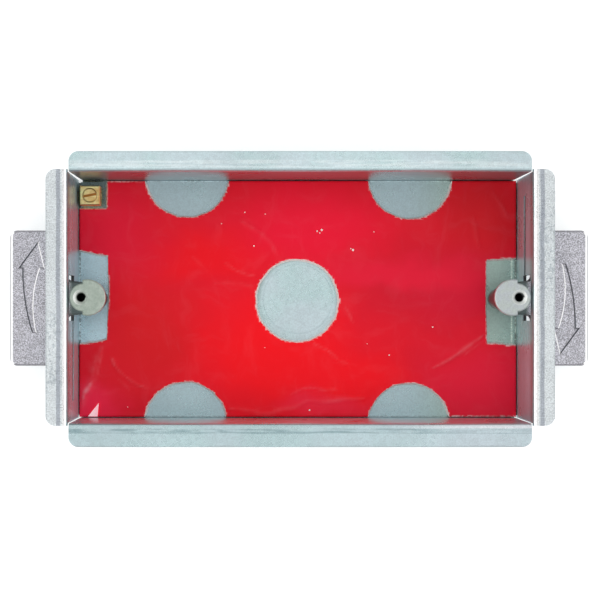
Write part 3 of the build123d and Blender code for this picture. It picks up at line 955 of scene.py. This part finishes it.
# Windows of the light tent: direction, degrees within which it is full, degrees past which it is none, and
# strength, below zero for a darker gap
TENT_LIGHT = 0.82
WINDOWS = [
    ((1, 0, 0.1), 30, 48, 0.75),
    ((-1, 0, 0.1), 30, 48, 0.75),
    ((0, -0.55, 0.85), 14, 26, 0.45),
    ((0.40, 0, 0.9), 9, 18, -0.38),
    ((-0.40, 0, 0.9), 9, 18, -0.38),
]

LAMP_SIDE = 0.6
LAMP_HEIGHT = 0.8
LAMP_WATTS = 2.0


def camera():
    """The photograph's view: straight in, from a little left of and below the middle."""
    data = bpy.data.cameras.new("photo_view")
    data.sensor_width = SENSOR
    data.lens = SENSOR * VIEW_DISTANCE * VIEW_SCALE / PHOTO_PIXELS
    data.shift_x = (PHOTO_PIXELS / 2 - VIEW_PIXEL_X) / PHOTO_PIXELS
    data.shift_y = (VIEW_PIXEL_Y - PHOTO_PIXELS / 2) / PHOTO_PIXELS
    data.clip_start = 20 * MM
    view = bpy.data.objects.new("photo_view", data)
    view.location = (VIEW_X, VIEW_Y, FRONT + VIEW_DISTANCE)
    bpy.context.scene.collection.objects.link(view)
    bpy.context.scene.camera = view


def white_table():
    """Matt white that keeps soft shadows and is pure white to the camera where nothing shades it."""
    material, tree, shader, _ = new_finish("white_table", 0.0, 0.9)
    shader.inputs["Base Color"].default_value = rgb(0.8, 0.8, 0.8)
    shader.inputs["Specular IOR Level"].default_value = 0.0
    shader.inputs["Emission Color"].default_value = rgb(1, 1, 1)
    path = add(tree, "LightPath")
    seen = calc(tree, "MAXIMUM", path.outputs["Is Camera Ray"], path.outputs["Is Glossy Ray"])
    tree.links.new(product(tree, seen, 0.3), shader.inputs["Emission Strength"])
    return material


def table():
    """Pale table under the object."""
    bm = bmesh.new()
    bmesh.ops.create_grid(bm, x_segments=1, y_segments=1, size=TABLE_HALF)
    bmesh.ops.translate(bm, verts=bm.verts[:], vec=(0, 0, TABLE_RISE))
    mesh = bpy.data.meshes.new("table")
    bm.to_mesh(mesh)
    bm.free()
    mesh.materials.append(white_table())
    top = bpy.data.objects.new("table", mesh)
    bpy.context.scene.collection.objects.link(top)


def tent_window(tree, direction, toward, inner, outer, strength):
    """Light from a round window in a direction: full within inner degrees, none past outer."""
    aim = Vector(toward).normalized()
    facing = add(tree, "VectorMath", {0: direction, 1: aim}, operation="DOT_PRODUCT").outputs["Value"]
    full = math.cos(math.radians(inner))
    none = math.cos(math.radians(outer))
    return smooth_step(tree, facing, none, full, 0.0, strength)


def light_tent():
    """Bright sides, a bright window in front and darker gaps between, white behind the object."""
    world = bpy.data.worlds.new("light_tent")
    bpy.context.scene.world = world
    world.use_nodes = True
    tree = world.node_tree
    background = tree.nodes["Background"]
    direction = add(tree, "TexCoord").outputs["Generated"]
    base = add(tree, "Value")
    base.outputs[0].default_value = TENT_LIGHT
    light = base.outputs[0]
    for toward, inner, outer, strength in WINDOWS:
        window = tent_window(tree, direction, toward, inner, outer, strength)
        light = calc(tree, "ADD", light, window)
    seen = add(tree, "LightPath").outputs["Is Camera Ray"]
    light = add(tree, "Mix", {0: seen, 2: light, 3: 1.0}).outputs[0]
    tree.links.new(light, background.inputs["Strength"])
    background.inputs["Color"].default_value = rgb(1, 1, 1)


def overhead_fill():
    """Large soft lamp over the box, for the matt surfaces inside it."""
    data = bpy.data.lights.new("overhead_fill", "AREA")
    data.shape = "SQUARE"
    data.size = LAMP_SIDE
    data.energy = LAMP_WATTS
    lamp = bpy.data.objects.new("overhead_fill", data)
    lamp.location = (0, 0, LAMP_HEIGHT)
    lamp.visible_glossy = False
    bpy.context.scene.collection.objects.link(lamp)


# Making the scene

camera()
table()
light_tent()
overhead_fill()
bpy.context.scene.view_settings.view_transform = "Standard"

steel = galvanised_sheet()
casting = zinc_casting()
stud_plate = plated_stud()
brass = cut_brass()
finish_of = {
    "box_shell": steel,
    "left_lug": casting,
    "right_lug": casting,
    "left_pivot_stud": stud_plate,
    "right_pivot_stud": stud_plate,
    "earth_terminal_block": brass,
    "earth_terminal_screw": brass,
}
for name, finish in finish_of.items():
    for material_slot in nodes[name].material_slots:
        material_slot.material = finish

red_pad()
film_flap()
fixing_thread("left_fixing_thread", "left_lug", -1, casting)
fixing_thread("right_fixing_thread", "right_lug", 1, casting)
